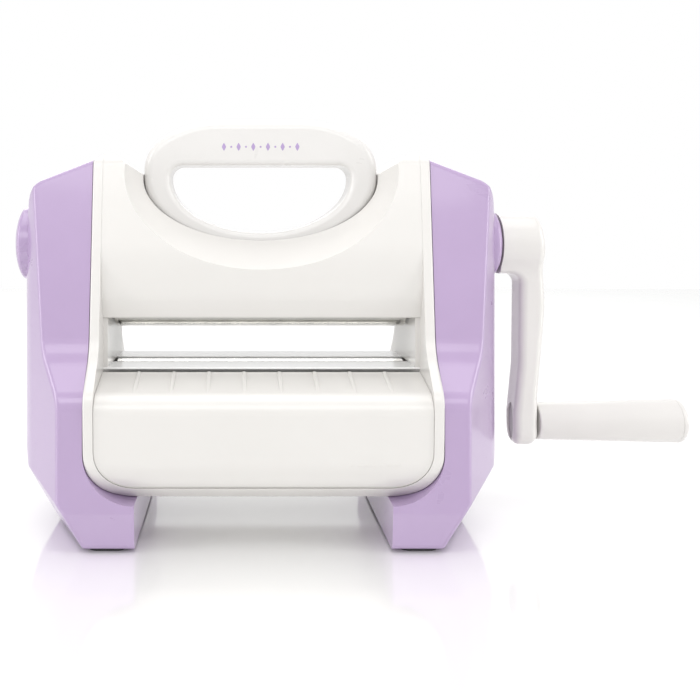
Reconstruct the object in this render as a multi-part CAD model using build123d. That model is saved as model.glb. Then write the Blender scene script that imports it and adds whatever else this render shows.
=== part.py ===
import os
from math import acos, cos, pi, radians, sin, tan

from build123d import *

# Hand-cranked die cutting machine, in millimetres.
# Origin: centre of the footprint on the table. +X points to the crank, -Y to the
# front, +Z up. The housing's front and rear are mirror images about Y = 0.

# ---- Driving dimensions ----

BODY_HALF_WIDTH = 88.6          # white centre body, half width along X
BODY_BOTTOM = 24.0              # underside of the white body above the table
BODY_CORNER_R = 25.0            # lower corners of the white body, seen from the front
BODY_HUMP_X = 81.0              # where the top is highest
BODY_TOP = 199.5
CHEEK_TOP_OUTER = 195.0         # top of the cheek where it meets the end cap
RIM_WIDTH = 5.2                 # white rim at the sides
BAND_HEIGHT = 6.5               # white rim below the apron
WALL = 3.0                      # plastic wall thickness
SEAM = 0.15                     # visible gap between two covers

SLOT_HALF_WIDTH = 81.0
TABLE_TOP = 86.2                # surface that the plates are pushed in on
LIP_TOP = 84.3                  # upper end of the ramp, just below the feed table
LIP_Z = 112.4                   # lower edge of the upper covers
LIP_Y = 28.8                    # half depth of the lip and of the ramp's inner edge

ROLLER_R = 16.3
ROLLER_HALF_LENGTH = 80.0
NIP = 18.4                      # gap between the rollers; 2 * ROLLER_R + NIP is the gears' spacing
LOWER_AXIS_Z = 70.0
UPPER_AXIS_Z = LOWER_AXIS_Z + 2 * ROLLER_R + NIP
CRANK_AXIS_Z = 151.0
JOURNAL_R = 6.0
RUNNING_CLEARANCE = 0.05        # radial, every turning pair
STATIC_CLEARANCE = 0.02         # radial, every fixed pair

GEAR_MODULE = 1.5
TIMING_TEETH = 34
DRIVE_TEETH = 28
PINION_TEETH = 12
TIMING_GEAR_X = (96.0, 104.0)
DRIVE_GEAR_X = (106.2, 114.0)

HANDLE_Z = 187.0                # centre of the ring handle
HANDLE_A, HANDLE_B = 64.0, 34.2 # half width, and depth of the lower half as it is seen
HANDLE_CROWN = [(63.6, 17.0, 22.0), (37.0, 31.6, 55.0)]
HANDLE_HALF_DEPTH = 12.5
HANDLE_ROOT_B = 39.5            # the ring reaches lower than its seen outline, into a pocket
HANDLE_EDGE_R = 5.0
HOLE_EDGE_R = 3.0
HOLE_HALF_WIDTH = 49.4
HOLE_TOP, HOLE_BOTTOM = 193.7, 156.9
HOLE_CORNER_R = 6.6

SCOOP_Y = 40.0                  # depth at which the scoop's mouth is measured
SCOOP_A, SCOOP_B = 76.9, 58.3
SCOOP_Z = 193.4

FOOT_INNER_X = 63.4
CREASE_X = 101.0                # corner between the cap's front face and its facet
FACET_END = (121.5, 27.0)       # where the facet meets the bulged side (X, half depth)
CAP_SIDE_X = 129.0
PAD_THICKNESS = 1.5

BOSS_R = 20.3
BOSS_RING_R = 18.6
BOSS_FACE_X = 133.4
RING_FACE_X = 131.0
BOSS_INNER_X = 121.0

CRANK_SHAFT_R = 5.0
HUB_R = 16.6
HUB_FACE_X = 131.6
GRIP_AXIS_Z = 51.5
GRIP_X = (153.8, 231.6)
GRIP_END_X = 235.0
GRIP_R = (10.2, 11.9)
PIN_R = 4.0

STEEL = 3.0                     # steel side plates
PLATE_X = 89.2
GEAR_PLATE_X = 116.2
GEAR_PLATE_T = 2.5

SHARP = 12.0                    # degrees between two faces, above which their edge is rounded
BODY_EDGE_R = 1.5
FAR = 300.0                     # beyond the machine in every direction
PAST = 1.0                      # how far a cutting tool passes the face it cuts

RIB_PITCH = 18.35
RIB_COUNT = 8


# ---- Helpers ----

def outline(plane, corners):
    """Closed face through (u, v, corner radius) on a plane."""
    points = [(u, v) for u, v, _ in corners]
    radii = [r for _, _, r in corners]
    return plane * make_face(FilletPolyline(*points, radius=radii, close=True))


def symmetric(side):
    """A side's corners, followed by their mirror image about u = 0."""
    return side + [(-u, v, r) for u, v, r in reversed(side)]


def slab(x, y, z):
    """Box between two limits along each axis."""
    size = (x[1] - x[0], y[1] - y[0], z[1] - z[0])
    centre = ((x[0] + x[1]) / 2, (y[0] + y[1]) / 2, (z[0] + z[1]) / 2)
    return Pos(*centre) * Box(*size)


def rod(radius, x, y, z):
    """Round bar along X between two limits."""
    centre = Pos((x[0] + x[1]) / 2, y, z) * Rot(0, 90, 0)
    return centre * Cylinder(radius, abs(x[1] - x[0]))


def tube(radius, bore, x, y, z):
    return rod(radius, x, y, z) - rod(bore, (x[0] - PAST, x[1] + PAST), y, z)


def turned(profile, z):
    """Solid turned about an X-parallel axis at height z, from (x, radius, corner) rows."""
    face = make_face(FilletPolyline(*[(x, r) for x, r, _ in profile],
                                    radius=[c for _, _, c in profile], close=True))
    return Pos(0, 0, z) * revolve(Plane.XZ * face, Axis.X)


def sharp_edges(solid, inner_x=0.0):
    """Edges outside an X limit where two faces meet at a marked angle."""
    found = []
    for edge in solid.edges():
        faces = [f for f in solid.faces() if any(edge.is_same(e) for e in f.edges())]
        if len(faces) != 2 or max(abs((edge @ 0).X), abs((edge @ 1).X)) <= inner_x:
            continue
        middle = edge @ 0.5
        turn = faces[0].normal_at(middle).get_angle(faces[1].normal_at(middle))
        if turn > SHARP:
            found.append(edge)
    return found


def to_rear(shape):
    return mirror(shape, about=Plane.XZ)


def to_left(shape):
    return mirror(shape, about=Plane.YZ)


def group(*solids):
    """Separate solids that share one node."""
    return Compound(children=list(solids))


NODES = {}


def add(name, shape):
    NODES[name] = shape


# ---- Outer forms shared by the covers ----

RIDGE_R = 11.0
RIDGE_Z = 76.4                  # ridge between the apron's ramp and its front
BODY_SIDE = [                   # (half depth, height, corner radius)
    (45.0, BODY_BOTTOM, 0),
    (59.4, 35.0, 28.0),
    (61.0, RIDGE_Z + 0.6, RIDGE_R),
    (42.2, 96.0, 26.0),
    (28.4, BODY_TOP, 8.0),
]


def body_profile():
    """Side view of the white body."""
    return extrude(outline(Plane.YZ, symmetric(BODY_SIDE)), FAR, both=True)


def front_view():
    """Front view of the white body: round lower corners, humped top."""
    side = [
        (BODY_HALF_WIDTH, BODY_BOTTOM, BODY_CORNER_R),
        (BODY_HALF_WIDTH, CHEEK_TOP_OUTER, 1.5),
        (BODY_HUMP_X, BODY_TOP + 1.0, 6.0),
        (HANDLE_A, HANDLE_Z + 1.6, 4.0),
    ]
    return extrude(outline(Plane.XZ, symmetric(side)), FAR, both=True)


def ellipse_face(a, b, y, z):
    return Pos(0, y, z) * (Plane.XZ * Ellipse(a, b))


LOWER_HALF = Pos(0, -FAR / 2) * Rectangle(2 * FAR, FAR)


def ring_outline(grow):
    """The handle's outline about its centre: a broad crown over a deeper lower half."""
    crown = symmetric([(HANDLE_A, 0, 0)] + HANDLE_CROWN)
    upper = offset(make_face(FilletPolyline(
        *[(u, v) for u, v, _ in crown], radius=[r for _, _, r in crown], close=True)), grow)
    lower = Ellipse(HANDLE_A + grow, HANDLE_ROOT_B + grow) & LOWER_HALF
    return Plane.XZ * ((upper - LOWER_HALF) + lower)


def scoop(grow):
    """Hollow that the handle stands in: a pocket with a bevelled mouth at each side."""
    trough = Pos(0, 0, HANDLE_Z) * extrude(ring_outline(grow + SEAM / 2),
                                           HANDLE_HALF_DEPTH + SEAM + grow, both=True)
    mouth = loft([ellipse_face(HANDLE_A + grow, HANDLE_B + grow, -HANDLE_HALF_DEPTH, HANDLE_Z),
                  ellipse_face(SCOOP_A + grow, SCOOP_B + grow, -SCOOP_Y, SCOOP_Z)])
    return trough + mouth + to_rear(mouth)


# ---- White chassis: a U-shaped cradle of two cheeks and a base pan ----

INNER_X = BODY_HALF_WIDTH - RIM_WIDTH
INNER_BOTTOM = BODY_BOTTOM + BAND_HEIGHT
INNER_CORNER_R = BODY_CORNER_R - RIM_WIDTH
SPLIT_X = BODY_HALF_WIDTH - BODY_CORNER_R     # joint between a cheek and the base pan
GUIDE_Y = LIP_Y - 1.2           # half depth of the guide walls beside the slot
LEDGE_Y = 13.0                  # the feed tables lie on ledges from here to the guide's end
LEDGE_T = 4.0
PAN_HALF_DEPTH = 41.0
JOURNAL_HOLE_R = 12.0
TIE_RODS = [(44.0, 57.0), (12.0, 139.0)]
TIE_ROD_R = 4.0
PLATE_SCREWS = [(20.0, 157.0), (27.0, 122.0), (34.0, 96.0)]
SCREW_R = 1.8
SCREW_HOLE_R = 2.0
SCREW_HOLE_X = INNER_X + 0.4    # blind end of a screw hole in a cheek


def both_sides(places):
    return [(s * y, z) for y, z in places for s in (-1, 1)]


def make_chassis():
    body = (body_profile() & front_view()).solids()[0]
    cradle = fillet(sharp_edges(body), BODY_EDGE_R)
    cradle -= extrude(outline(Plane.XZ, symmetric([
        (INNER_X, INNER_BOTTOM, INNER_CORNER_R),
        (INNER_X, BODY_TOP + 20, 0),
    ])), FAR, both=True)

    cheek = cradle & slab((SPLIT_X, FAR), (-FAR, FAR), (0, FAR))
    wall_x = (SLOT_HALF_WIDTH, INNER_X + PAST)
    cheek += slab(wall_x, (-GUIDE_Y, GUIDE_Y), (TABLE_TOP, LIP_Z - SEAM))
    ledge_z = (TABLE_TOP - WALL - LEDGE_T, TABLE_TOP - WALL)
    for ledge_y in ((-GUIDE_Y, -LEDGE_Y), (LEDGE_Y, GUIDE_Y)):
        cheek += slab(wall_x, ledge_y, ledge_z)
    through = (SLOT_HALF_WIDTH - PAST, BODY_HALF_WIDTH + PAST)
    for z in (LOWER_AXIS_Z, UPPER_AXIS_Z):
        cheek -= rod(JOURNAL_HOLE_R, through, 0, z)
    for y, z in both_sides(TIE_RODS):
        cheek -= rod(TIE_ROD_R + STATIC_CLEARANCE, through, y, z)
    for y, z in both_sides(PLATE_SCREWS):
        cheek -= rod(SCREW_HOLE_R, (SCREW_HOLE_X, BODY_HALF_WIDTH + PAST), y, z)
    add("right_cheek", cheek)
    add("left_cheek", to_left(cheek))

    pan = cradle & slab((-SPLIT_X, SPLIT_X), (-FAR, FAR), (0, FAR))
    pan -= slab((-SPLIT_X + WALL, SPLIT_X - WALL), (-PAN_HALF_DEPTH, PAN_HALF_DEPTH),
                (BODY_BOTTOM + WALL, FAR))
    add("base_pan", pan)


# ---- Aprons: ramp with ribs, ridge, and a convex front ----

APRON_RECESS = 0.7
RIB_WIDTH = 2.2
RIB_HEIGHT = 1.0
RIB_FROM_RIDGE = 7.0
RIB_RUN_UP = 8.0                # length over which a rib rises out of the ramp
RIB_FROM_LIP = 1.2
RIB_ROOT = 1.0                  # how deep a rib is sunk into the ramp


def make_aprons():
    inner = extrude(outline(Plane.XZ, symmetric([
        (INNER_X - SEAM, INNER_BOTTOM + SEAM, INNER_CORNER_R),
        (INNER_X - SEAM, BODY_TOP, 0),
    ])), FAR, both=True)
    (toe_y, toe_z, _), (belly_y, belly_z, belly_r), (ridge_y, _, _) = BODY_SIDE[:3]
    ridge_y -= APRON_RECESS
    ramp = [
        (0.0, 0.0, 0),
        (toe_y, toe_z + APRON_RECESS, 0),
        (belly_y - APRON_RECESS, belly_z, belly_r),
        (ridge_y, RIDGE_Z, RIDGE_R - APRON_RECESS),
        (LIP_Y, LIP_TOP, 0.6),
        (LIP_Y, LIP_TOP - WALL, 0),
        (0.0, LIP_TOP - WALL, 0),
    ]
    front_side = [(-u, v, r) for u, v, r in ramp]
    solid = extrude(outline(Plane.YZ, front_side), FAR, both=True)
    core = extrude(offset(outline(Plane.YZ, front_side), -WALL), FAR, both=True)
    core += slab((-FAR, FAR), (-LIP_Y + WALL, PAST), (-PAST, TABLE_TOP))
    apron = (solid - core) & inner
    apron &= slab((-FAR, FAR), (-FAR, -LIP_Y), (INNER_BOTTOM, FAR))

    slope = (LIP_TOP - RIDGE_Z) / (ridge_y - LIP_Y)

    def ramp_point(along, rise, corner):
        """Point at a distance behind the ridge and a rise above the ramp."""
        return (along - ridge_y, RIDGE_Z + slope * along + rise, corner)

    rib_end = ridge_y - LIP_Y - RIB_FROM_LIP
    rib_side = outline(Plane.YZ, [
        ramp_point(RIB_FROM_RIDGE, -RIB_ROOT, 0),
        ramp_point(rib_end, -RIB_ROOT, 0),
        ramp_point(rib_end, RIB_HEIGHT, 1.0),
        ramp_point(RIB_FROM_RIDGE + RIB_RUN_UP, RIB_HEIGHT, 12.0),
        ramp_point(RIB_FROM_RIDGE, 0, 0),
    ])
    for i in range(RIB_COUNT):
        x = (i - (RIB_COUNT - 1) / 2) * RIB_PITCH
        rib = Pos(x, 0, 0) * extrude(rib_side, RIB_WIDTH / 2, both=True)
        apron += fillet(rib.edges().filter_by(Plane.YZ).sort_by(Axis.Z)[-4:], 0.8)
    add("front_apron", apron)
    add("rear_apron", to_rear(apron))


# ---- Upper covers with the scoop ----

def make_upper_covers():
    half = [
        (0.0, LIP_Z, 0),
        (LIP_Y, LIP_Z, 1.2),
        (33.6, 125.0, 28.0),
        (35.8, 143.0, 60.0),
        (28.2, BODY_TOP, 8.0),
        (0.0, BODY_TOP, 0),
    ]
    front_side = [(-u, v, r) for u, v, r in half]
    face = outline(Plane.YZ, front_side)
    outer = extrude(face, INNER_X - STATIC_CLEARANCE, both=True) & front_view()
    outer -= scoop(0)
    core = extrude(offset(face, -WALL), FAR, both=True)
    core += slab((-FAR, FAR), (-WALL - PAST, PAST), (0, BODY_TOP - WALL))
    core += slab((-FAR, FAR), (-LIP_Y + WALL, PAST), (0, LIP_Z + 2 * WALL))
    core &= Pos(0, 0, -WALL) * front_view()
    core -= scoop(WALL)
    cover = (outer - core) & slab((-FAR, FAR), (-FAR, 0), (0, FAR))
    add("front_upper_cover", cover)
    add("rear_upper_cover", to_rear(cover))


# ---- Ring handle, in two halves that meet at Y = 0 ----

def make_handle():
    hole_lower = Plane.XZ * Ellipse(HOLE_HALF_WIDTH, HANDLE_Z - HOLE_BOTTOM)
    hole_lower &= Plane.XZ * LOWER_HALF
    hole_upper = Plane.XZ * Pos(0, (HOLE_TOP - HANDLE_Z) / 2) * Rectangle(
        2 * HOLE_HALF_WIDTH, HOLE_TOP - HANDLE_Z)
    hole = hole_lower + hole_upper
    hole = fillet(hole.vertices().sort_by(Axis.Z)[-2:], HOLE_CORNER_R)
    body = extrude(ring_outline(0) - hole, HANDLE_HALF_DEPTH - SEAM / 2)
    front = body.faces().sort_by(Axis.Y)[0]
    body = fillet(front.outer_wire().edges(), HANDLE_EDGE_R)
    front = body.faces().sort_by(Axis.Y)[0]
    body = fillet(front.inner_wires()[0].edges(), HOLE_EDGE_R)
    half = Pos(0, -SEAM / 2, HANDLE_Z) * body
    add("handle_front_half", half)
    add("handle_rear_half", to_rear(half))


# ---- End caps with the feet ----

CAP_SIDE = [                    # (half depth, height, corner radius)
    (57.0, PAD_THICKNESS, 0),
    (59.4, 20.0, 0),
    (59.4, 75.4, 14.0),
    (41.6, 96.0, 26.0),
    (27.6, 199.0, 0),
]
CAP_FRONT = [                   # (X, height, corner radius), outline without the undercut
    (0, 0, 0),
    (109.8, 0, 0),
    (121.0, 19.5, 30.0),
    (129.6, 52.0, 40.0),
    (129.8, 128.0, 60.0),
    (123.0, 182.0, 15.0),
    (BODY_HALF_WIDTH, 195.6, 0),
    (0, 215.2, 0),
]
CAP_HALF_DEPTH = 60.0
CAP_GAP = SEAM
UNDERCUT_AT = (CREASE_X - 2.0, 59.0, 20.0)
UNDERCUT_NORMAL = (0.789, 0.369, -0.491)
CAP_EDGE_R = 3.0
BOSS_SEAT_X = (115.0, 150.0)
PAD_AT = (77.5, 44.0)
PAD_SIZE = (19.0, 20.0)
PAD_CORNER_R = 5.0


def undercut_tool(shift, side):
    """Block that cuts the sloping underside of the bulge, at the front or rear."""
    nx, ny, nz = UNDERCUT_NORMAL
    normal = Vector(nx, side * ny, nz)
    place = Vector(UNDERCUT_AT[0], side * UNDERCUT_AT[1], UNDERCUT_AT[2]) - normal * shift
    return Plane(origin=place, z_dir=normal) * Pos(0, 0, FAR / 2) * Box(2 * FAR, 2 * FAR, FAR)


def cap_form(inset):
    """Closed form of an end cap, made smaller all round by an inset."""
    side_face = outline(Plane.YZ, symmetric(CAP_SIDE))
    x, y = FACET_END
    plan_face = make_face(Curve() + [
        Polyline((x, -y), (CREASE_X, -CAP_HALF_DEPTH), (0, -CAP_HALF_DEPTH),
                 (0, CAP_HALF_DEPTH), (CREASE_X, CAP_HALF_DEPTH), (x, y)),
        ThreePointArc((x, y), (CAP_SIDE_X, 0), (x, -y)),
    ])
    view_face = outline(Plane.XZ, CAP_FRONT)
    if inset:
        side_face = offset(side_face, -inset)
        plan_face = offset(plan_face, -inset)
        view_face = offset(view_face, -inset)
    form = extrude(side_face, FAR, both=True)
    form &= extrude(view_face, FAR, both=True)
    form &= extrude(plan_face, FAR)
    for side in (-1, 1):
        form -= undercut_tool(inset, side)
    return form


def body_keepout(half_width, bottom, corner):
    """Space of the white body, seen from the front."""
    return extrude(outline(Plane.XZ, symmetric([
        (half_width, bottom, corner),
        (half_width, FAR, 0),
    ])), FAR, both=True)


def make_end_caps():
    cap = cap_form(0) & slab((FOOT_INNER_X, FAR), (-FAR, FAR), (0, FAR))
    cap = fillet(sharp_edges(cap.solids()[0], FOOT_INNER_X + SEAM), CAP_EDGE_R)
    cap -= body_keepout(BODY_HALF_WIDTH + CAP_GAP, BODY_BOTTOM - CAP_GAP,
                        BODY_CORNER_R + CAP_GAP)
    core = cap_form(WALL) & slab((FOOT_INNER_X + WALL, FAR), (-FAR, FAR), (0, FAR))
    core -= body_keepout(BODY_HALF_WIDTH - PAST, BODY_BOTTOM - CAP_GAP - WALL,
                         BODY_CORNER_R - WALL)
    cap -= core
    add("right_end_cap", cap - rod(BOSS_RING_R + STATIC_CLEARANCE, BOSS_SEAT_X, 0,
                                   CRANK_AXIS_Z))
    add("left_end_cap", to_left(cap - rod(BOSS_R + STATIC_CLEARANCE, BOSS_SEAT_X, 0,
                                          CRANK_AXIS_Z)))

    boss = turned([
        (-BOSS_INNER_X, 0, 0),
        (-BOSS_INNER_X, BOSS_R, 0.5),
        (-130.6, BOSS_R, 2.5),
        (-BOSS_FACE_X, 15.0, 14.0),
        (-BOSS_FACE_X, 0, 0),
    ], CRANK_AXIS_Z)
    add("left_boss_cap", boss)
    ring_bore = CRANK_BUSH_R + STATIC_CLEARANCE
    ring = turned([
        (BOSS_INNER_X, ring_bore, 0),
        (BOSS_INNER_X, BOSS_RING_R, 0.5),
        (RING_FACE_X - 1.8, BOSS_RING_R, 3.0),
        (RING_FACE_X, 15.6, 2.0),
        (RING_FACE_X, ring_bore, 0),
    ], CRANK_AXIS_Z)
    add("right_boss_ring", ring)

    pads = []
    for y in (-PAD_AT[1], PAD_AT[1]):
        pad = Pos(PAD_AT[0], y, PAD_THICKNESS / 2) * Box(*PAD_SIZE, PAD_THICKNESS)
        pad = fillet(pad.edges().filter_by(Axis.Z), PAD_CORNER_R)
        pads += [pad, to_left(pad)]
    add("rubber_feet", group(*pads))


# ---- Feed tables ----

TABLE_GAP = 8.2                 # from the lower roller's axis to the table's thin edge
TABLE_FRONT_Y = LIP_Y - 0.9
TABLE_EDGE_T = 0.7
TABLE_EDGE_R = 0.3


def make_feed_tables():
    table = extrude(outline(Plane.YZ, [
        (-TABLE_FRONT_Y, TABLE_TOP, TABLE_EDGE_R),
        (-TABLE_FRONT_Y, TABLE_TOP - TABLE_EDGE_T, 0),
        (-TABLE_FRONT_Y + 3.1, TABLE_TOP - WALL, 0),
        (-TABLE_GAP - 4.0, TABLE_TOP - WALL, 0),
        (-TABLE_GAP, TABLE_TOP - TABLE_EDGE_T, 0),
        (-TABLE_GAP, TABLE_TOP, TABLE_EDGE_R),
    ]), INNER_X - STATIC_CLEARANCE, both=True)
    add("front_feed_table", table)
    add("rear_feed_table", to_rear(table))


# ---- Steel frame inside the end caps ----

GEAR_POSTS = [(19.5, 95.0), (15.0, 168.0)]
POST_R = 3.5
BUSH_R = 9.0
BUSH_X = (87.2, 93.4)
BUSH_FLANGE = 2.0
CRANK_BUSH_R = 8.0
BUSH_PROUD = 1.5                # how far a bush stands out of the gear plate
SCREW_HEAD_R, SCREW_HEAD_T = 3.4, 2.2
POST_SCREW_HEAD_R, POST_SCREW_HEAD_T = 3.0, 1.4


def make_frame():
    corners = symmetric([(50.0, 51.0, 4.0), (50.0, 70.0, 6.0), (34.5, 98.0, 6.0),
                         (27.0, 150.0, 6.0), (24.0, 180.0, 5.0)])
    plate = extrude(outline(Plane.YZ, corners), STEEL)
    plate = Pos(PLATE_X, 0, 0) * plate
    span = (PLATE_X - PAST, PLATE_X + STEEL + PAST)
    for z in (LOWER_AXIS_Z, UPPER_AXIS_Z):
        plate -= rod(BUSH_R + STATIC_CLEARANCE, span, 0, z)
    for y, z in both_sides(TIE_RODS):
        plate -= rod(TIE_ROD_R + STATIC_CLEARANCE, span, y, z)
    for y, z in both_sides(PLATE_SCREWS):
        plate -= rod(SCREW_HOLE_R, span, y, z)
    add("left_side_plate", to_left(plate))
    for y, z in both_sides(GEAR_POSTS):
        plate -= rod(SCREW_HOLE_R, span, y, z)
    add("right_side_plate", plate)

    end = PLATE_X + STEEL
    rods = [rod(TIE_ROD_R, (-end, end), y, z) for y, z in both_sides(TIE_RODS)]
    add("tie_rods", group(*rods))

    bushes = []
    for z in (LOWER_AXIS_Z, UPPER_AXIS_Z):
        bush = tube(BUSH_R, JOURNAL_R + RUNNING_CLEARANCE, BUSH_X, 0, z)
        bush += tube(BUSH_R + BUSH_FLANGE, JOURNAL_R + RUNNING_CLEARANCE, (BUSH_X[0], PLATE_X), 0, z)
        bushes += [bush, to_left(bush)]
    add("roller_bushes", group(*bushes))

    outer = outline(Plane.YZ, symmetric([(24.5, 89.0, 5.0), (24.5, 101.0, 5.0),
                                         (20.0, 140.0, 10.0), (20.0, 173.5, 5.0)]))
    gear_plate = Pos(GEAR_PLATE_X, 0, 0) * extrude(outer, GEAR_PLATE_T)
    far_span = (GEAR_PLATE_X - PAST, GEAR_PLATE_X + GEAR_PLATE_T + PAST)
    for z in (UPPER_AXIS_Z, CRANK_AXIS_Z):
        gear_plate -= rod(CRANK_BUSH_R + STATIC_CLEARANCE, far_span, 0, z)
    for y, z in both_sides(GEAR_POSTS):
        gear_plate -= rod(SCREW_HOLE_R, far_span, y, z)
    add("outer_gear_plate", gear_plate)

    posts = [rod(POST_R, (end, GEAR_PLATE_X), y, z) for y, z in both_sides(GEAR_POSTS)]
    add("gear_plate_posts", group(*posts))

    gear_plate_face = GEAR_PLATE_X + GEAR_PLATE_T
    outer_x = (GEAR_PLATE_X, gear_plate_face + BUSH_PROUD)
    outer_bush = tube(CRANK_BUSH_R, CRANK_SHAFT_R + RUNNING_CLEARANCE, outer_x, 0,
                      CRANK_AXIS_Z)
    roller_bush = tube(CRANK_BUSH_R, JOURNAL_R + RUNNING_CLEARANCE, outer_x, 0, UPPER_AXIS_Z)
    add("gear_plate_bushes", group(outer_bush, roller_bush))
    add("crank_bush", tube(CRANK_BUSH_R, CRANK_SHAFT_R + RUNNING_CLEARANCE,
                           (BOSS_INNER_X, RING_FACE_X - 0.4), 0, CRANK_AXIS_Z))

    screws = []
    for y, z in both_sides(PLATE_SCREWS):
        screw = rod(SCREW_R, (SCREW_HOLE_X + 0.2, end), y, z)
        screw += rod(SCREW_HEAD_R, (end, end + SCREW_HEAD_T), y, z)
        screws += [screw, to_left(screw)]
    add("plate_screws", group(*screws))
    heads = [rod(POST_SCREW_HEAD_R, (gear_plate_face, gear_plate_face + POST_SCREW_HEAD_T), y, z)
             for y, z in both_sides(GEAR_POSTS)]
    add("post_screws", group(*heads))


# ---- Gears ----

PRESSURE_ANGLE = radians(20)
ADDENDUM = 0.7                  # of the module, short enough to clear a small pinion
DEDENDUM = 1.15
FLANK_STEPS = 4
BACKLASH = 0.12                 # taken off each tooth at the pitch circle


def gear_face(teeth, phase):
    """Involute gear outline on the YZ plane, with one tooth centred at an angle."""
    pitch_r = GEAR_MODULE * teeth / 2
    base_r = pitch_r * cos(PRESSURE_ANGLE)
    tip_r = pitch_r + ADDENDUM * GEAR_MODULE
    root_r = pitch_r - DEDENDUM * GEAR_MODULE
    start_r = max(base_r, root_r + 0.1)

    def involute(radius):
        angle = acos(min(1.0, base_r / radius))
        return tan(angle) - angle

    half_tooth = (pi * GEAR_MODULE / 2 - BACKLASH) / (2 * pitch_r)
    at_pitch = involute(pitch_r)
    flank = []
    for i in range(FLANK_STEPS + 1):
        radius = start_r + (tip_r - start_r) * i / FLANK_STEPS
        flank.append((radius, half_tooth + at_pitch - involute(radius)))
    points = []
    for tooth in range(teeth):
        middle = phase + 2 * pi * tooth / teeth
        polar = [(root_r, -flank[0][1])]
        polar += [(r, -a) for r, a in flank]
        polar += [(r, a) for r, a in reversed(flank)]
        polar += [(root_r, flank[0][1])]
        points += [(r * cos(middle + a), r * sin(middle + a)) for r, a in polar]
    return Plane.YZ * make_face(Polyline(*points, close=True))


def gear(teeth, phase, x, z, bore, hub):
    """Gear with a hub; hub is (radius, first x, last x)."""
    blank = Pos(x[0], 0, z) * extrude(gear_face(teeth, phase), x[1] - x[0])
    blank += rod(hub[0], (hub[1], hub[2]), 0, z)
    return blank - rod(bore, (hub[1] - PAST, hub[2] + PAST), 0, z)


DOWN, UP = -pi / 2, pi / 2
BORE = JOURNAL_R + STATIC_CLEARANCE
CORE_R = 8.0                    # shaft inside the roller barrel
CORE_HALF_LENGTH = 82.0
BARREL_CHAMFER = 0.8
SHAFT_LEFT_X = -97.0
UPPER_SHAFT_END_X = GEAR_PLATE_X + GEAR_PLATE_T + 1.0
LOWER_SHAFT_END_X = 109.0
RETAINING_RING_R = 8.6
LEFT_RING_X = (-95.6, -94.2)
RIGHT_RING_X = (106.4, 107.8)
TIMING_HUB = (10.0, 94.2, 105.8)
DRIVE_HUB = (9.5, 105.8, 115.4)
PINION_HUB = (6.6, 105.8, 115.4)


def make_roller(name, z, shaft_end):
    barrel = tube(ROLLER_R, CORE_R + STATIC_CLEARANCE,
                  (-ROLLER_HALF_LENGTH, ROLLER_HALF_LENGTH), 0, z)
    rims = barrel.edges().filter_by(GeomType.CIRCLE).group_by(SortBy.RADIUS)[-1]
    add(name + "_roller_barrel", chamfer(rims, BARREL_CHAMFER))
    core = rod(CORE_R, (-CORE_HALF_LENGTH, CORE_HALF_LENGTH), 0, z)
    add(name + "_roller_shaft", rod(JOURNAL_R, (SHAFT_LEFT_X, shaft_end), 0, z) + core)


def make_rollers():
    make_roller("upper", UPPER_AXIS_Z, UPPER_SHAFT_END_X)
    make_roller("lower", LOWER_AXIS_Z, LOWER_SHAFT_END_X)
    add("upper_retaining_ring", tube(RETAINING_RING_R, BORE, LEFT_RING_X, 0, UPPER_AXIS_Z))
    add("lower_retaining_ring", group(*[tube(RETAINING_RING_R, BORE, x, 0, LOWER_AXIS_Z)
                                        for x in (LEFT_RING_X, RIGHT_RING_X)]))
    add("upper_timing_gear", gear(TIMING_TEETH, DOWN, TIMING_GEAR_X, UPPER_AXIS_Z, BORE,
                                  TIMING_HUB))
    add("lower_timing_gear", gear(TIMING_TEETH, UP + pi / TIMING_TEETH, TIMING_GEAR_X,
                                  LOWER_AXIS_Z, BORE, TIMING_HUB))
    add("drive_gear", gear(DRIVE_TEETH, UP, DRIVE_GEAR_X, UPPER_AXIS_Z, BORE, DRIVE_HUB))


# ---- Crank ----

ARM_END_R = 9.5
ARM_END_Z = 47.8
ARM_EDGE_R = 4.0
ARM_SEAT_X = 153.0              # flat outer face that the grip turns against
ARM_CORE_X = 149.0              # where the shaft ends inside the hub
OVAL = (4.9, 10.4)              # recess for the pin's oval head, half sizes
RECESS_DEPTH = 3.0
PIN_HEAD_GAP = 0.2
PIN_HEAD_T = 2.0
PIN_END_X = 226.0
NUT_X = (222.4, 225.4)
NUT_R = 6.0
ARM_LEFT_X = 130.0              # left of the arm's innermost face
ARM_RIGHT_X = 170.0             # right of its outermost face
ARM_INNER_X = 139.9             # inner face at the grip's end
WAIST_R = 14.0                  # corner between the hub and the blade
SHAFT_START_X = 105.6
SCREW_SEAT_X = 151.6
CRANK_SCREW_R = 2.6
CRANK_SCREW_HEAD_R = 7.2


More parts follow.
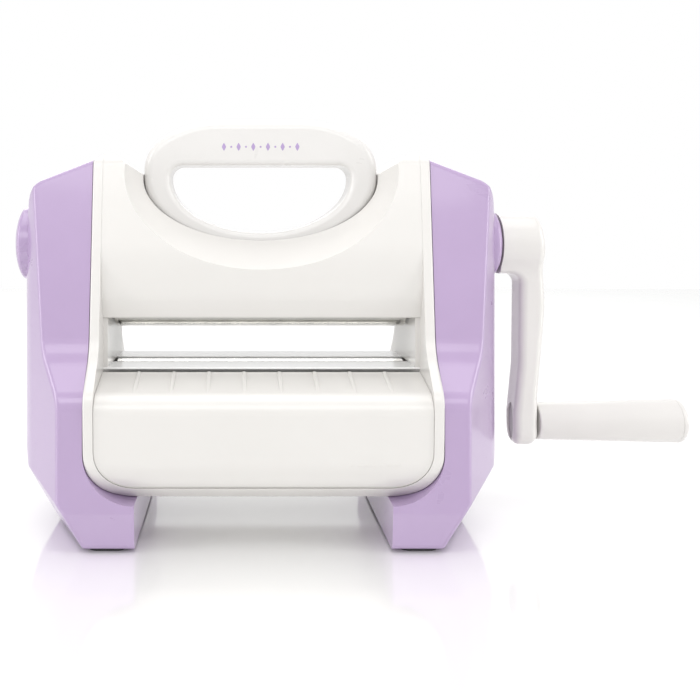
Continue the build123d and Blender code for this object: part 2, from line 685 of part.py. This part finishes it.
def make_crank():
    shaft = rod(CRANK_SHAFT_R, (SHAFT_START_X, ARM_CORE_X), 0, CRANK_AXIS_Z)
    add("crank_shaft", shaft)
    add("crank_pinion", gear(PINION_TEETH, DOWN + pi / PINION_TEETH, DRIVE_GEAR_X,
                             CRANK_AXIS_Z, CRANK_SHAFT_R + STATIC_CLEARANCE,
                             PINION_HUB))

    front = outline(Plane.XZ, [
        (HUB_FACE_X, CRANK_AXIS_Z + HUB_R, 0),
        (153.4, CRANK_AXIS_Z + HUB_R, 5.0),
        (157.4, 118.0, 120.0),
        (ARM_SEAT_X, 66.0, 30.0),
        (ARM_SEAT_X, ARM_END_Z - ARM_END_R, 7.0),
        (140.2, ARM_END_Z - ARM_END_R, 5.0),
        (ARM_INNER_X, 56.0, 20.0),
        (142.6, 84.0, 60.0),
        (143.2, CRANK_AXIS_Z - HUB_R, 6.0),
        (HUB_FACE_X, CRANK_AXIS_Z - HUB_R, 0),
    ])
    blade_z = (ARM_END_Z, CRANK_AXIS_Z)
    side = Pos(0, CRANK_AXIS_Z) * Circle(HUB_R) + Pos(0, ARM_END_Z) * Circle(ARM_END_R)
    side += Pos(0, sum(blade_z) / 2) * Rectangle(2 * ARM_END_R, blade_z[1] - blade_z[0])
    waist = side.vertices().filter_by_position(Axis.Y, ARM_END_Z + 10, CRANK_AXIS_Z - 5)
    side = fillet(waist, WAIST_R)
    arm = extrude(front, FAR, both=True)
    arm &= extrude(Plane.YZ * side, FAR)
    arm = soften_arm(arm)
    arm -= rod(CRANK_SHAFT_R + STATIC_CLEARANCE, (ARM_LEFT_X, ARM_CORE_X), 0, CRANK_AXIS_Z)
    arm -= rod(CRANK_SCREW_R, (ARM_CORE_X - PAST, ARM_RIGHT_X), 0, CRANK_AXIS_Z)
    arm -= rod(CRANK_SCREW_HEAD_R + 0.4, (SCREW_SEAT_X, ARM_RIGHT_X), 0, CRANK_AXIS_Z)
    head_x = ARM_INNER_X + RECESS_DEPTH
    arm -= Pos(ARM_LEFT_X, 0, GRIP_AXIS_Z) * extrude(Plane.YZ * Ellipse(*OVAL),
                                                     head_x - ARM_LEFT_X)
    arm -= rod(PIN_R + STATIC_CLEARANCE, (ARM_LEFT_X, ARM_RIGHT_X), 0, GRIP_AXIS_Z)
    add("crank_arm", arm)

    seat = SCREW_SEAT_X + 0.1
    screw = turned([(ARM_CORE_X, 0, 0), (ARM_CORE_X, CRANK_SCREW_R - STATIC_CLEARANCE, 0),
                    (seat, CRANK_SCREW_R - STATIC_CLEARANCE, 0),
                    (seat, CRANK_SCREW_HEAD_R, 0), (153.6, 6.4, 1.5), (153.6, 0, 0)],
                   CRANK_AXIS_Z)
    add("crank_screw", screw)

    head = Pos(head_x - PIN_HEAD_T, 0, GRIP_AXIS_Z) * extrude(
        Plane.YZ * Ellipse(OVAL[0] - PIN_HEAD_GAP, OVAL[1] - PIN_HEAD_GAP), PIN_HEAD_T)
    pin = head + turned([(head_x, 0, 0), (head_x, PIN_R, 0), (PIN_END_X, PIN_R, 0.6),
                         (PIN_END_X, 0, 0)], GRIP_AXIS_Z)
    add("grip_pin", pin)
    add("grip_pin_nut", tube(NUT_R, PIN_R + STATIC_CLEARANCE, NUT_X, 0, GRIP_AXIS_Z))


def soften_arm(arm):
    """Rounds the edges all along the arm, and leaves the hub's inner face flat."""
    edges = [e for e in sharp_edges(arm.solids()[0]) if (e @ 0.5).X > HUB_FACE_X + 0.1]
    return fillet(edges, ARM_EDGE_R)


GRIP_BORE_R = 7.0               # wide end of the bore, closed by the end cap
GRIP_STEP_X = 222.0             # where the bore widens
PLUG_END_X = 227.0


def make_grip():
    sleeve = turned([
        (GRIP_X[0], PIN_R + RUNNING_CLEARANCE, 0),
        (GRIP_X[0], GRIP_R[0], 0.8),
        (GRIP_X[1], GRIP_R[1], 0.4),
        (GRIP_X[1], GRIP_BORE_R, 0),
        (GRIP_STEP_X, GRIP_BORE_R, 0),
        (GRIP_STEP_X, PIN_R + RUNNING_CLEARANCE, 0),
    ], GRIP_AXIS_Z)
    add("grip", sleeve)
    plug = turned([
        (PLUG_END_X, 0, 0),
        (PLUG_END_X, GRIP_BORE_R - STATIC_CLEARANCE, 0),
        (GRIP_X[1], GRIP_BORE_R - STATIC_CLEARANCE, 0),
        (GRIP_X[1], GRIP_R[1], 0.4),
        (GRIP_END_X, GRIP_R[1] - 0.2, 2.4),
        (GRIP_END_X, 0, 0),
    ], GRIP_AXIS_Z)
    add("grip_end_cap", plug)


make_chassis()
make_aprons()
make_upper_covers()
make_handle()
make_end_caps()
make_feed_tables()
make_frame()
make_rollers()
make_crank()
make_grip()

os.makedirs("parts", exist_ok=True)
for name, shape in NODES.items():
    export_step(shape, "parts/" + name + ".step")
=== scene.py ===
import math

import bmesh
import bpy
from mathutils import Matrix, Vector
from mathutils.bvhtree import BVHTree


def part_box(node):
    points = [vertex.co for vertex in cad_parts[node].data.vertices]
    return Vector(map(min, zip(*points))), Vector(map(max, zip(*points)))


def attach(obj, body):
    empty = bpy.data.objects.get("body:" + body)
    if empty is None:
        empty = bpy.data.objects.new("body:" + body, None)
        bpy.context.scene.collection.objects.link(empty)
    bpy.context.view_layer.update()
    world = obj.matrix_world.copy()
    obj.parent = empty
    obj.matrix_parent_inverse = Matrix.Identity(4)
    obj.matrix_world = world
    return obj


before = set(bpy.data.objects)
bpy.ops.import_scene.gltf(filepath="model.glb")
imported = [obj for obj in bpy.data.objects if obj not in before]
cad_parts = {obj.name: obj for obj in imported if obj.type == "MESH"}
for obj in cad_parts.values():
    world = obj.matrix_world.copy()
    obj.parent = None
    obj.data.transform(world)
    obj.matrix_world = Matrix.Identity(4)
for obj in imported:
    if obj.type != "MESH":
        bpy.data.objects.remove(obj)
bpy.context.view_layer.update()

# Die cutting machine: white covers and lilac end caps around a steel roller frame.
# Everything below is in metres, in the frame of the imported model: +X to the crank,
# -Y to the front, +Z up, and the table at Z = 0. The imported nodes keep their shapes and
# get procedural finishes here, and two small ornaments are added to the housing.

MM = 0.001


# ---- Node helpers ----

COLOUR_A = 6                    # a colour Mix node's first colour input, before the second
COLOUR_RESULT = 2               # and its colour output


class Nodes:
    """Short hand for building one material's node tree."""

    def __init__(self, name):
        self.material = bpy.data.materials.new(name)
        self.material.use_nodes = True
        self.tree = self.material.node_tree
        self.shader = next(n for n in self.tree.nodes if n.type == "BSDF_PRINCIPLED")
        self.place = self.new("ShaderNodeTexCoord").outputs["Object"]

    def new(self, kind, **settings):
        node = self.tree.nodes.new(kind)
        for key, value in settings.items():
            setattr(node, key, value)
        return node

    def link(self, source, target):
        self.tree.links.new(source, target)

    def stretched(self, scale):
        """Object coordinates scaled differently along each axis."""
        node = self.new("ShaderNodeMapping")
        node.inputs["Scale"].default_value = scale
        self.link(self.place, node.inputs["Vector"])
        return node.outputs["Vector"]

    def noise(self, scale, detail=2.0, vector=None, distortion=0.0):
        node = self.new("ShaderNodeTexNoise")
        node.inputs["Scale"].default_value = scale
        node.inputs["Detail"].default_value = detail
        node.inputs["Distortion"].default_value = distortion
        self.link(vector or self.place, node.inputs["Vector"])
        return node.outputs["Fac"]

    def remap(self, source, low, high, to_low, to_high):
        node = self.new("ShaderNodeMapRange")
        for key, value in zip(("From Min", "From Max", "To Min", "To Max"),
                              (low, high, to_low, to_high)):
            node.inputs[key].default_value = value
        self.link(source, node.inputs["Value"])
        return node.outputs["Result"]

    def math(self, operation, first, second):
        node = self.new("ShaderNodeMath", operation=operation)
        for socket, value in zip(node.inputs, (first, second)):
            if isinstance(value, (int, float)):
                socket.default_value = value
            else:
                self.link(value, socket)
        return node.outputs[0]

    def mix(self, factor, first, second):
        """Colour between two, by a factor; a colour is a tuple or a socket."""
        node = self.new("ShaderNodeMix", data_type="RGBA")
        self.link(factor, node.inputs["Factor"])
        for socket, value in zip(node.inputs[COLOUR_A:COLOUR_A + 2], (first, second)):
            if isinstance(value, tuple):
                socket.default_value = (*value, 1.0)
            else:
                self.link(value, socket)
        return node.outputs[COLOUR_RESULT]

    def bump(self, heights):
        """Chain of bumps from (height, strength, distance) rows, finest last."""
        normal = None
        for height, strength, distance in heights:
            node = self.new("ShaderNodeBump")
            node.inputs["Strength"].default_value = strength
            node.inputs["Distance"].default_value = distance
            self.link(height, node.inputs["Height"])
            if normal:
                self.link(normal, node.inputs["Normal"])
            normal = node.outputs["Normal"]
        self.link(normal, self.shader.inputs["Normal"])

    def set(self, **values):
        for key, value in values.items():
            self.shader.inputs[key.replace("_", " ")].default_value = value


def shade(colour, factor):
    return tuple(c * factor for c in colour)


# ---- Materials ----

SKIN_DEPTH = 0.05 * MM          # height of the finest grain in a plastic or plated skin
LINE_DEPTH = 0.03 * MM          # of the lines left by turning
RIPPLE_DEPTH = 0.8 * MM         # of the slow waves of a moulded wall, at low strength
PEBBLE_DEPTH = 0.2 * MM
NOISE_SPREAD = (0.3, 0.7)       # where most of a noise texture's values lie


def moulded_plastic(name, colour, rough, grain, mottling, coat):
    """Injection-moulded plastic: eroded-mould grain, faint flow clouds and light scuffs."""
    m = Nodes(name)
    clouds = m.noise(38.0, 4.0, distortion=0.6)
    flow = m.noise(9.0, 3.0, vector=m.stretched((1.0, 1.0, 0.35)))
    tone = m.math("MULTIPLY", clouds, flow)
    tone = m.remap(tone, 0.12, 0.42, 0.0, 1.0)
    m.link(m.mix(tone, shade(colour, 1.0 - mottling), shade(colour, 1.0 + mottling)),
           m.shader.inputs["Base Color"])
    scuffs = m.noise(170.0, 6.0, vector=m.stretched((0.25, 1.0, 1.6)), distortion=1.4)
    scuffs = m.remap(scuffs, 0.58, 0.72, 0.0, 0.07)
    base_rough = m.remap(clouds, *NOISE_SPREAD, rough - 0.03, rough + 0.03)
    m.link(m.math("ADD", base_rough, scuffs), m.shader.inputs["Roughness"])
    ripple = m.noise(60.0, 2.0)
    fine = m.noise(2600.0, 3.0)
    m.bump([(ripple, 0.02, RIPPLE_DEPTH), (fine, grain, SKIN_DEPTH)])
    m.set(Specular_IOR_Level=0.5, Coat_Weight=coat, Coat_Roughness=0.08)
    return m.material


def turned_steel(name, colour, rough, line_scale, strength):
    """Turned steel: fine lines round the X axis, with faint oil clouds."""
    m = Nodes(name)
    lines = m.noise(1.0, 5.0, vector=m.stretched((line_scale, 18.0, 18.0)))
    broad = m.noise(1.0, 3.0, vector=m.stretched((line_scale / 9, 40.0, 40.0)))
    tone = m.remap(broad, *NOISE_SPREAD, 0.0, 1.0)
    m.link(m.mix(tone, shade(colour, 0.9), shade(colour, 1.06)), m.shader.inputs["Base Color"])
    m.link(m.remap(lines, *NOISE_SPREAD, rough - 0.06, rough + 0.09),
           m.shader.inputs["Roughness"])
    m.bump([(lines, strength, LINE_DEPTH)])
    m.set(Metallic=1.0)
    return m.material


def plated_steel(name, colour, rough, grain):
    """Rolled or plated steel sheet with a fine crystalline mottling."""
    m = Nodes(name)
    cells = m.new("ShaderNodeTexVoronoi")
    cells.inputs["Scale"].default_value = 420.0
    m.link(m.place, cells.inputs["Vector"])
    clouds = m.noise(30.0, 4.0)
    tone = m.remap(m.math("MULTIPLY", cells.outputs["Distance"], clouds), 0.0, 0.5, 0.0, 1.0)
    m.link(m.mix(tone, shade(colour, 0.88), shade(colour, 1.05)), m.shader.inputs["Base Color"])
    m.link(m.remap(clouds, *NOISE_SPREAD, rough - 0.05, rough + 0.07),
           m.shader.inputs["Roughness"])
    m.bump([(m.noise(1800.0, 3.0), grain, SKIN_DEPTH)])
    m.set(Metallic=1.0)
    return m.material


def rubber(name, colour):
    """Moulded rubber with a pebbled skin and a dusty bloom."""
    m = Nodes(name)
    pebbles = m.new("ShaderNodeTexVoronoi", feature="SMOOTH_F1")
    pebbles.inputs["Scale"].default_value = 1100.0
    m.link(m.place, pebbles.inputs["Vector"])
    bloom = m.noise(140.0, 5.0)
    m.link(m.mix(m.remap(bloom, 0.4, 0.7, 0.0, 1.0), colour, shade(colour, 1.9)),
           m.shader.inputs["Base Color"])
    m.link(m.remap(bloom, *NOISE_SPREAD, 0.62, 0.85), m.shader.inputs["Roughness"])
    m.bump([(pebbles.outputs["Distance"], 0.35, PEBBLE_DEPTH)])
    m.set(Specular_IOR_Level=0.35)
    return m.material


WHITE = (0.680, 0.663, 0.640)
HANDLE_WHITE = (0.680, 0.665, 0.650)
# The feed table's white is far brighter than the housing's white plastic: painted light that makes up
# for the shade inside the slot.
TABLE_WHITE_PAINTED_LIGHT = (0.900, 0.898, 0.892)
GRIP_WHITE = (0.660, 0.641, 0.622)
LILAC = (0.405, 0.300, 0.478)
LILAC_INK = (0.40, 0.30, 0.52)
PIN_GREY = (0.42, 0.41, 0.40)
GROUND_STEEL = (0.88, 0.87, 0.84)
SHAFT_STEEL = (0.60, 0.60, 0.60)
SINTERED_STEEL = (0.40, 0.39, 0.38)
ZINC_SHEET = (0.62, 0.63, 0.64)
ZINC_SCREW = (0.66, 0.66, 0.64)
BRONZE = (0.62, 0.42, 0.20)
BLACK_RUBBER = (0.035, 0.034, 0.036)

FINISHES = {
    "white_plastic": moulded_plastic("moulded_white", WHITE, 0.32, 0.14, 0.010, 0.3),
    "handle_white": moulded_plastic("moulded_handle_white", HANDLE_WHITE, 0.30, 0.12, 0.010, 0.3),
    "lilac_plastic": moulded_plastic("moulded_lilac", LILAC, 0.30, 0.14, 0.020, 0.5),
    # The table finish is the same white plastic, brightened with painted light for the shaded slot.
    "table_plastic": moulded_plastic("moulded_table_painted_light", TABLE_WHITE_PAINTED_LIGHT, 0.16, 0.04, 0.008, 0.6),
    "grip_white": moulded_plastic("moulded_grip", GRIP_WHITE, 0.36, 0.25, 0.012, 0.15),
    "pin_grey": moulded_plastic("moulded_pin_grey", PIN_GREY, 0.40, 0.2, 0.03, 0.0),
    "roller_steel": turned_steel("ground_roller_steel", GROUND_STEEL, 0.16, 1100.0, 0.03),
    "shaft_steel": turned_steel("turned_shaft_steel", SHAFT_STEEL, 0.30, 1500.0, 0.35),
    "gear_steel": plated_steel("sintered_gear_steel", SINTERED_STEEL, 0.42, 0.5),
    "plate_steel": plated_steel("zinc_plated_sheet", ZINC_SHEET, 0.36, 0.25),
    "bush_bronze": turned_steel("sintered_bronze", BRONZE, 0.38, 900.0, 0.3),
    "screw_steel": plated_steel("zinc_plated_screw", ZINC_SCREW, 0.28, 0.2),
    "foot_rubber": rubber("foot_rubber", BLACK_RUBBER),
}
LILAC_PRINT = moulded_plastic("printed_lilac_ink", LILAC_INK, 0.42, 0.1, 0.05, 0.0)


def finish_cad_nodes():
    """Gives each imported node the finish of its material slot."""
    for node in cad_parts.values():
        for place in node.material_slots:
            place.material = FINISHES[place.material.name.split(".")[0]]


finish_cad_nodes()


# ---- Stage, light and camera ----

FLOOR_SIZE = 3.0
FLOOR_WHITE = (0.98, 0.98, 0.97, 1.0)
AMBIENT = 0.62                  # the world's strength as light on matt surfaces
MIDDLE = (0.0, 0.0, 0.10)       # what most lamps aim at
SOFTBOXES = [                   # (name, place, aim, size, power in watts)
    ("overhead_softbox", (0.0, -0.10, 1.10), MIDDLE, (1.0, 0.9), 5.8),
    ("front_softbox", (-0.15, -1.10, 0.72), MIDDLE, (1.3, 0.4), 4.2),
    ("rear_softbox", (0.0, 1.20, 0.95), (0.0, 0.45, 0.0), (1.6, 0.7), 7.0),
    ("left_softbox", (-1.15, -0.35, 0.45), MIDDLE, (0.35, 0.9), 4.6),
    ("right_softbox", (1.15, -0.35, 0.45), MIDDLE, (0.35, 0.9), 4.6),
]


def make_stage():
    """Pale glossy table that mirrors the foot of the machine."""
    floor_nodes = Nodes("glossy_pale_table")
    haze = floor_nodes.noise(6.0, 3.0)
    floor_nodes.link(floor_nodes.remap(haze, *NOISE_SPREAD, 0.10, 0.13),
                     floor_nodes.shader.inputs["Roughness"])
    floor_nodes.set(Base_Color=FLOOR_WHITE, Metallic=0.35)
    bpy.ops.mesh.primitive_plane_add(size=FLOOR_SIZE)
    floor = bpy.context.object
    floor.name = "floor"
    floor.data.materials.append(floor_nodes.material)


def add_softbox(name, place, aim, size, power):
    data = bpy.data.lights.new(name, "AREA")
    data.shape = "RECTANGLE"
    data.size, data.size_y = size
    data.energy = power
    light = bpy.data.objects.new(name, data)
    bpy.context.scene.collection.objects.link(light)
    light.location = place
    light.rotation_euler = (Vector(aim) - Vector(place)).to_track_quat("-Z", "Y").to_euler()


def make_world():
    """White to the eye and in reflections, and dimmer as light, so that the lamps shape the object."""
    world = bpy.data.worlds.new("studio")
    bpy.context.scene.world = world
    world.use_nodes = True
    tree = world.node_tree
    background = tree.nodes["Background"]
    background.inputs["Color"].default_value = (1.0, 1.0, 1.0, 1.0)
    path = tree.nodes.new("ShaderNodeLightPath")
    level = tree.nodes.new("ShaderNodeMapRange")
    level.inputs["To Min"].default_value = 1.0
    level.inputs["To Max"].default_value = AMBIENT
    tree.links.new(path.outputs["Is Diffuse Ray"], level.inputs["Value"])
    tree.links.new(level.outputs["Result"], background.inputs["Strength"])


def make_light():
    for softbox in SOFTBOXES:
        add_softbox(*softbox)
    scene = bpy.context.scene
    scene.view_settings.view_transform = "Standard"
    scene.view_settings.look = "None"
    scene.view_settings.exposure = 0.0


def make_camera():
    """Close one-point view, level and square to the front, with the lens shifted."""
    data = bpy.data.cameras.new("camera")
    data.lens = 42.69
    data.sensor_width = 36.0
    data.shift_x = 0.163
    data.shift_y = -0.186
    data.clip_start = 0.01
    camera = bpy.data.objects.new("camera", data)
    bpy.context.scene.collection.objects.link(camera)
    camera.location = (-0.0135, -0.465, 0.164)
    camera.rotation_euler = (math.radians(90), 0.0, 0.0)
    bpy.context.scene.camera = camera


# ---- Printed and embossed ornaments, in place of lettering ----

def surface_of(node):
    """Search tree over one CAD node's surface."""
    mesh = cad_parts[node].data
    return BVHTree.FromPolygons([v.co for v in mesh.vertices], [p.vertices for p in mesh.polygons])


def front_point(tree, x, z):
    """The point that a line from the front hits, and the surface's outward normal there."""
    point, normal, _, _ = tree.ray_cast(Vector((x, -1.0, z)), Vector((0.0, 1.0, 0.0)))
    return point, (normal if normal.y < 0 else -normal)


PATCH_STEPS = 32
PATCH_EDGE = 0.35               # share of a patch's height that its bevel takes
PATCH_ROOT = 0.2                # share of its height that is sunk into the surface
PATCH_RINGS = [                 # (size, rise), from the root to the top
    (1.0, 0.0),
    (1.0, 1.0 - PATCH_EDGE),
    (1.0 - PATCH_EDGE * 0.4, 1.0),
]


def add_patch(bm, tree, centre, half_size, power, height):
    """Low raised patch with a bevelled rim; a power of 1 is a diamond, and 2 an ellipse."""
    rings = []
    for scale, rise in PATCH_RINGS:
        ring = []
        for i in range(PATCH_STEPS):
            angle = 2 * math.pi * i / PATCH_STEPS
            c, s = math.cos(angle), math.sin(angle)
            u = math.copysign(abs(c) ** (2 / power), c) * half_size[0] * scale
            v = math.copysign(abs(s) ** (2 / power), s) * half_size[1] * scale
            point, normal = front_point(tree, centre[0] + u, centre[1] + v)
            lift = rise * (1 + PATCH_ROOT) - PATCH_ROOT
            ring.append(bm.verts.new(point + normal * (height * lift)))
        rings.append(ring)
    for low, high in zip(rings, rings[1:]):
        for i in range(PATCH_STEPS):
            j = (i + 1) % PATCH_STEPS
            bm.faces.new((low[i], low[j], high[j], high[i]))
    bm.faces.new(rings[-1])
    bm.faces.new(list(reversed(rings[0])))


def finish_piece(bm, name, material):
    """Turns a built mesh into a visible piece that rides on the housing."""
    mesh = bpy.data.meshes.new(name)
    bmesh.ops.recalc_face_normals(bm, faces=bm.faces)
    bm.to_mesh(mesh)
    bm.free()
    piece = bpy.data.objects.new(name, mesh)
    bpy.context.scene.collection.objects.link(piece)
    mesh.materials.append(material)
    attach(piece, "housing")


PRINT_COUNT = 11
PRINT_PITCH = 4.0 * MM
PRINT_DROP = 14.8 * MM          # from the handle's top to the middle of the row
PRINT_THICKNESS = 0.08 * MM
DOT_SIZE = (0.55 * MM, 0.55 * MM)
DIAMOND_SIZE = (1.15 * MM, 2.2 * MM)

DASH_COUNT = 7
DASH_PITCH = 3.6 * MM
DASH_START_X = 44.0 * MM
DASH_RISE = 13.0 * MM           # from the apron's lower edge to the row
DASH_SIZE = (1.2 * MM, 0.5 * MM)
DASH_THICKNESS = 0.12 * MM


def make_handle_ornament():
    """A row of diamonds and dots, printed in lilac on the front of the handle."""
    low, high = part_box("handle_front_half")
    z = high.z - PRINT_DROP
    tree = surface_of("handle_front_half")
    bm = bmesh.new()
    middle = (PRINT_COUNT - 1) / 2
    for i in range(PRINT_COUNT):
        x = (low.x + high.x) / 2 + (i - middle) * PRINT_PITCH
        if i % 2:
            add_patch(bm, tree, (x, z), DOT_SIZE, 2.0, PRINT_THICKNESS)
        else:
            add_patch(bm, tree, (x, z), DIAMOND_SIZE, 1.15, PRINT_THICKNESS)
    finish_piece(bm, "handle_ornament", LILAC_PRINT)


def make_apron_ornament():
    """A faint row of short raised dashes, moulded low on the right of the front apron."""
    low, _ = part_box("front_apron")
    tree = surface_of("front_apron")
    bm = bmesh.new()
    for i in range(DASH_COUNT):
        add_patch(bm, tree, (DASH_START_X + i * DASH_PITCH, low.z + DASH_RISE),
                  DASH_SIZE, 3.0, DASH_THICKNESS)
    finish_piece(bm, "apron_ornament", FINISHES["white_plastic"])


make_handle_ornament()
make_apron_ornament()
make_stage()
make_world()
make_light()
make_camera()
